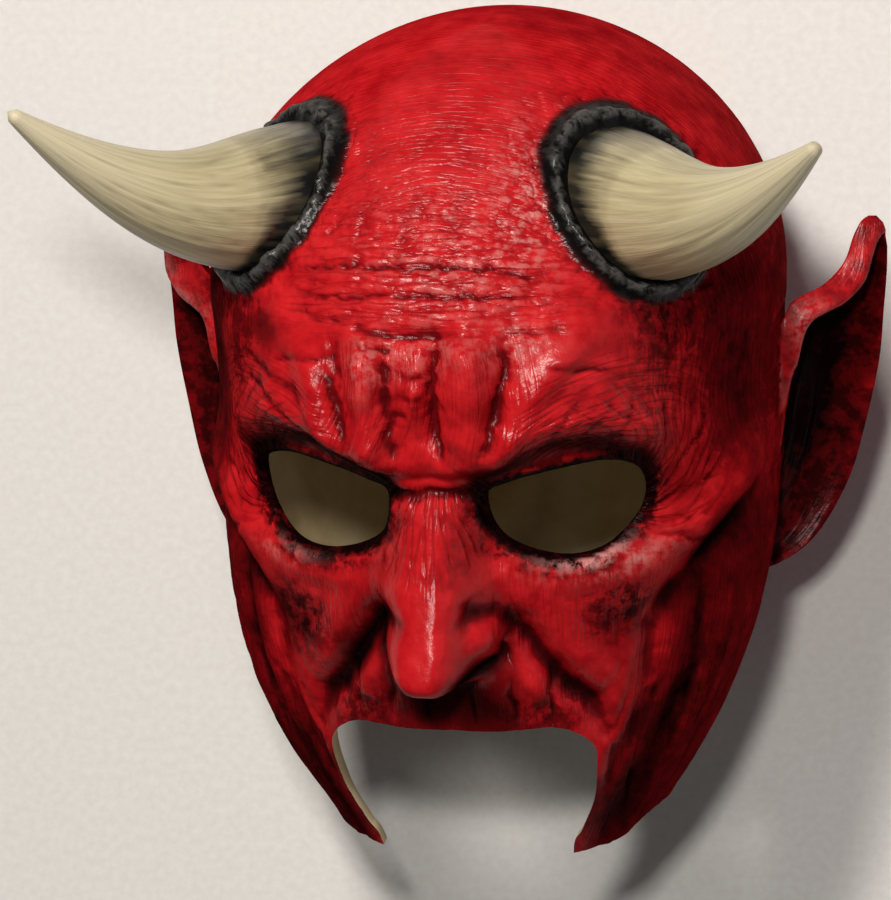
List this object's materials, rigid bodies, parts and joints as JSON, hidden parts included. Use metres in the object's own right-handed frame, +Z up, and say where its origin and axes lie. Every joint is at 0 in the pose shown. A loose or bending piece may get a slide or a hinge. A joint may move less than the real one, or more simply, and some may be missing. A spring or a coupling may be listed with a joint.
{
  "type": "demon mask",
  "caption": "Hollow full-head latex demon mask with curved horns in raised sockets, pointed ears, long nose, scowling brow, eye holes and a cut-out for mouth and chin, lying on its back.",
  "frame": {"origin": "centre of the bounding box's base, on the surface the mask lies on", "axes": "the mask lies on the back of its head: +Z is up, out through the tilted face, +Y towards the crown, +X towards the wearer's left"},
  "size_m": [0.215, 0.237, 0.2179],
  "materials": {
    "red_latex": "glossy painted latex, dark wash in the folds",
    "horn_bone": "satin painted latex, bone cream with a smoky base"
  },
  "bodies": {
    "root": {"mask_shell": "red_latex", "horn_right": "horn_bone", "horn_left": "horn_bone"}
  },
  "joints": []
}
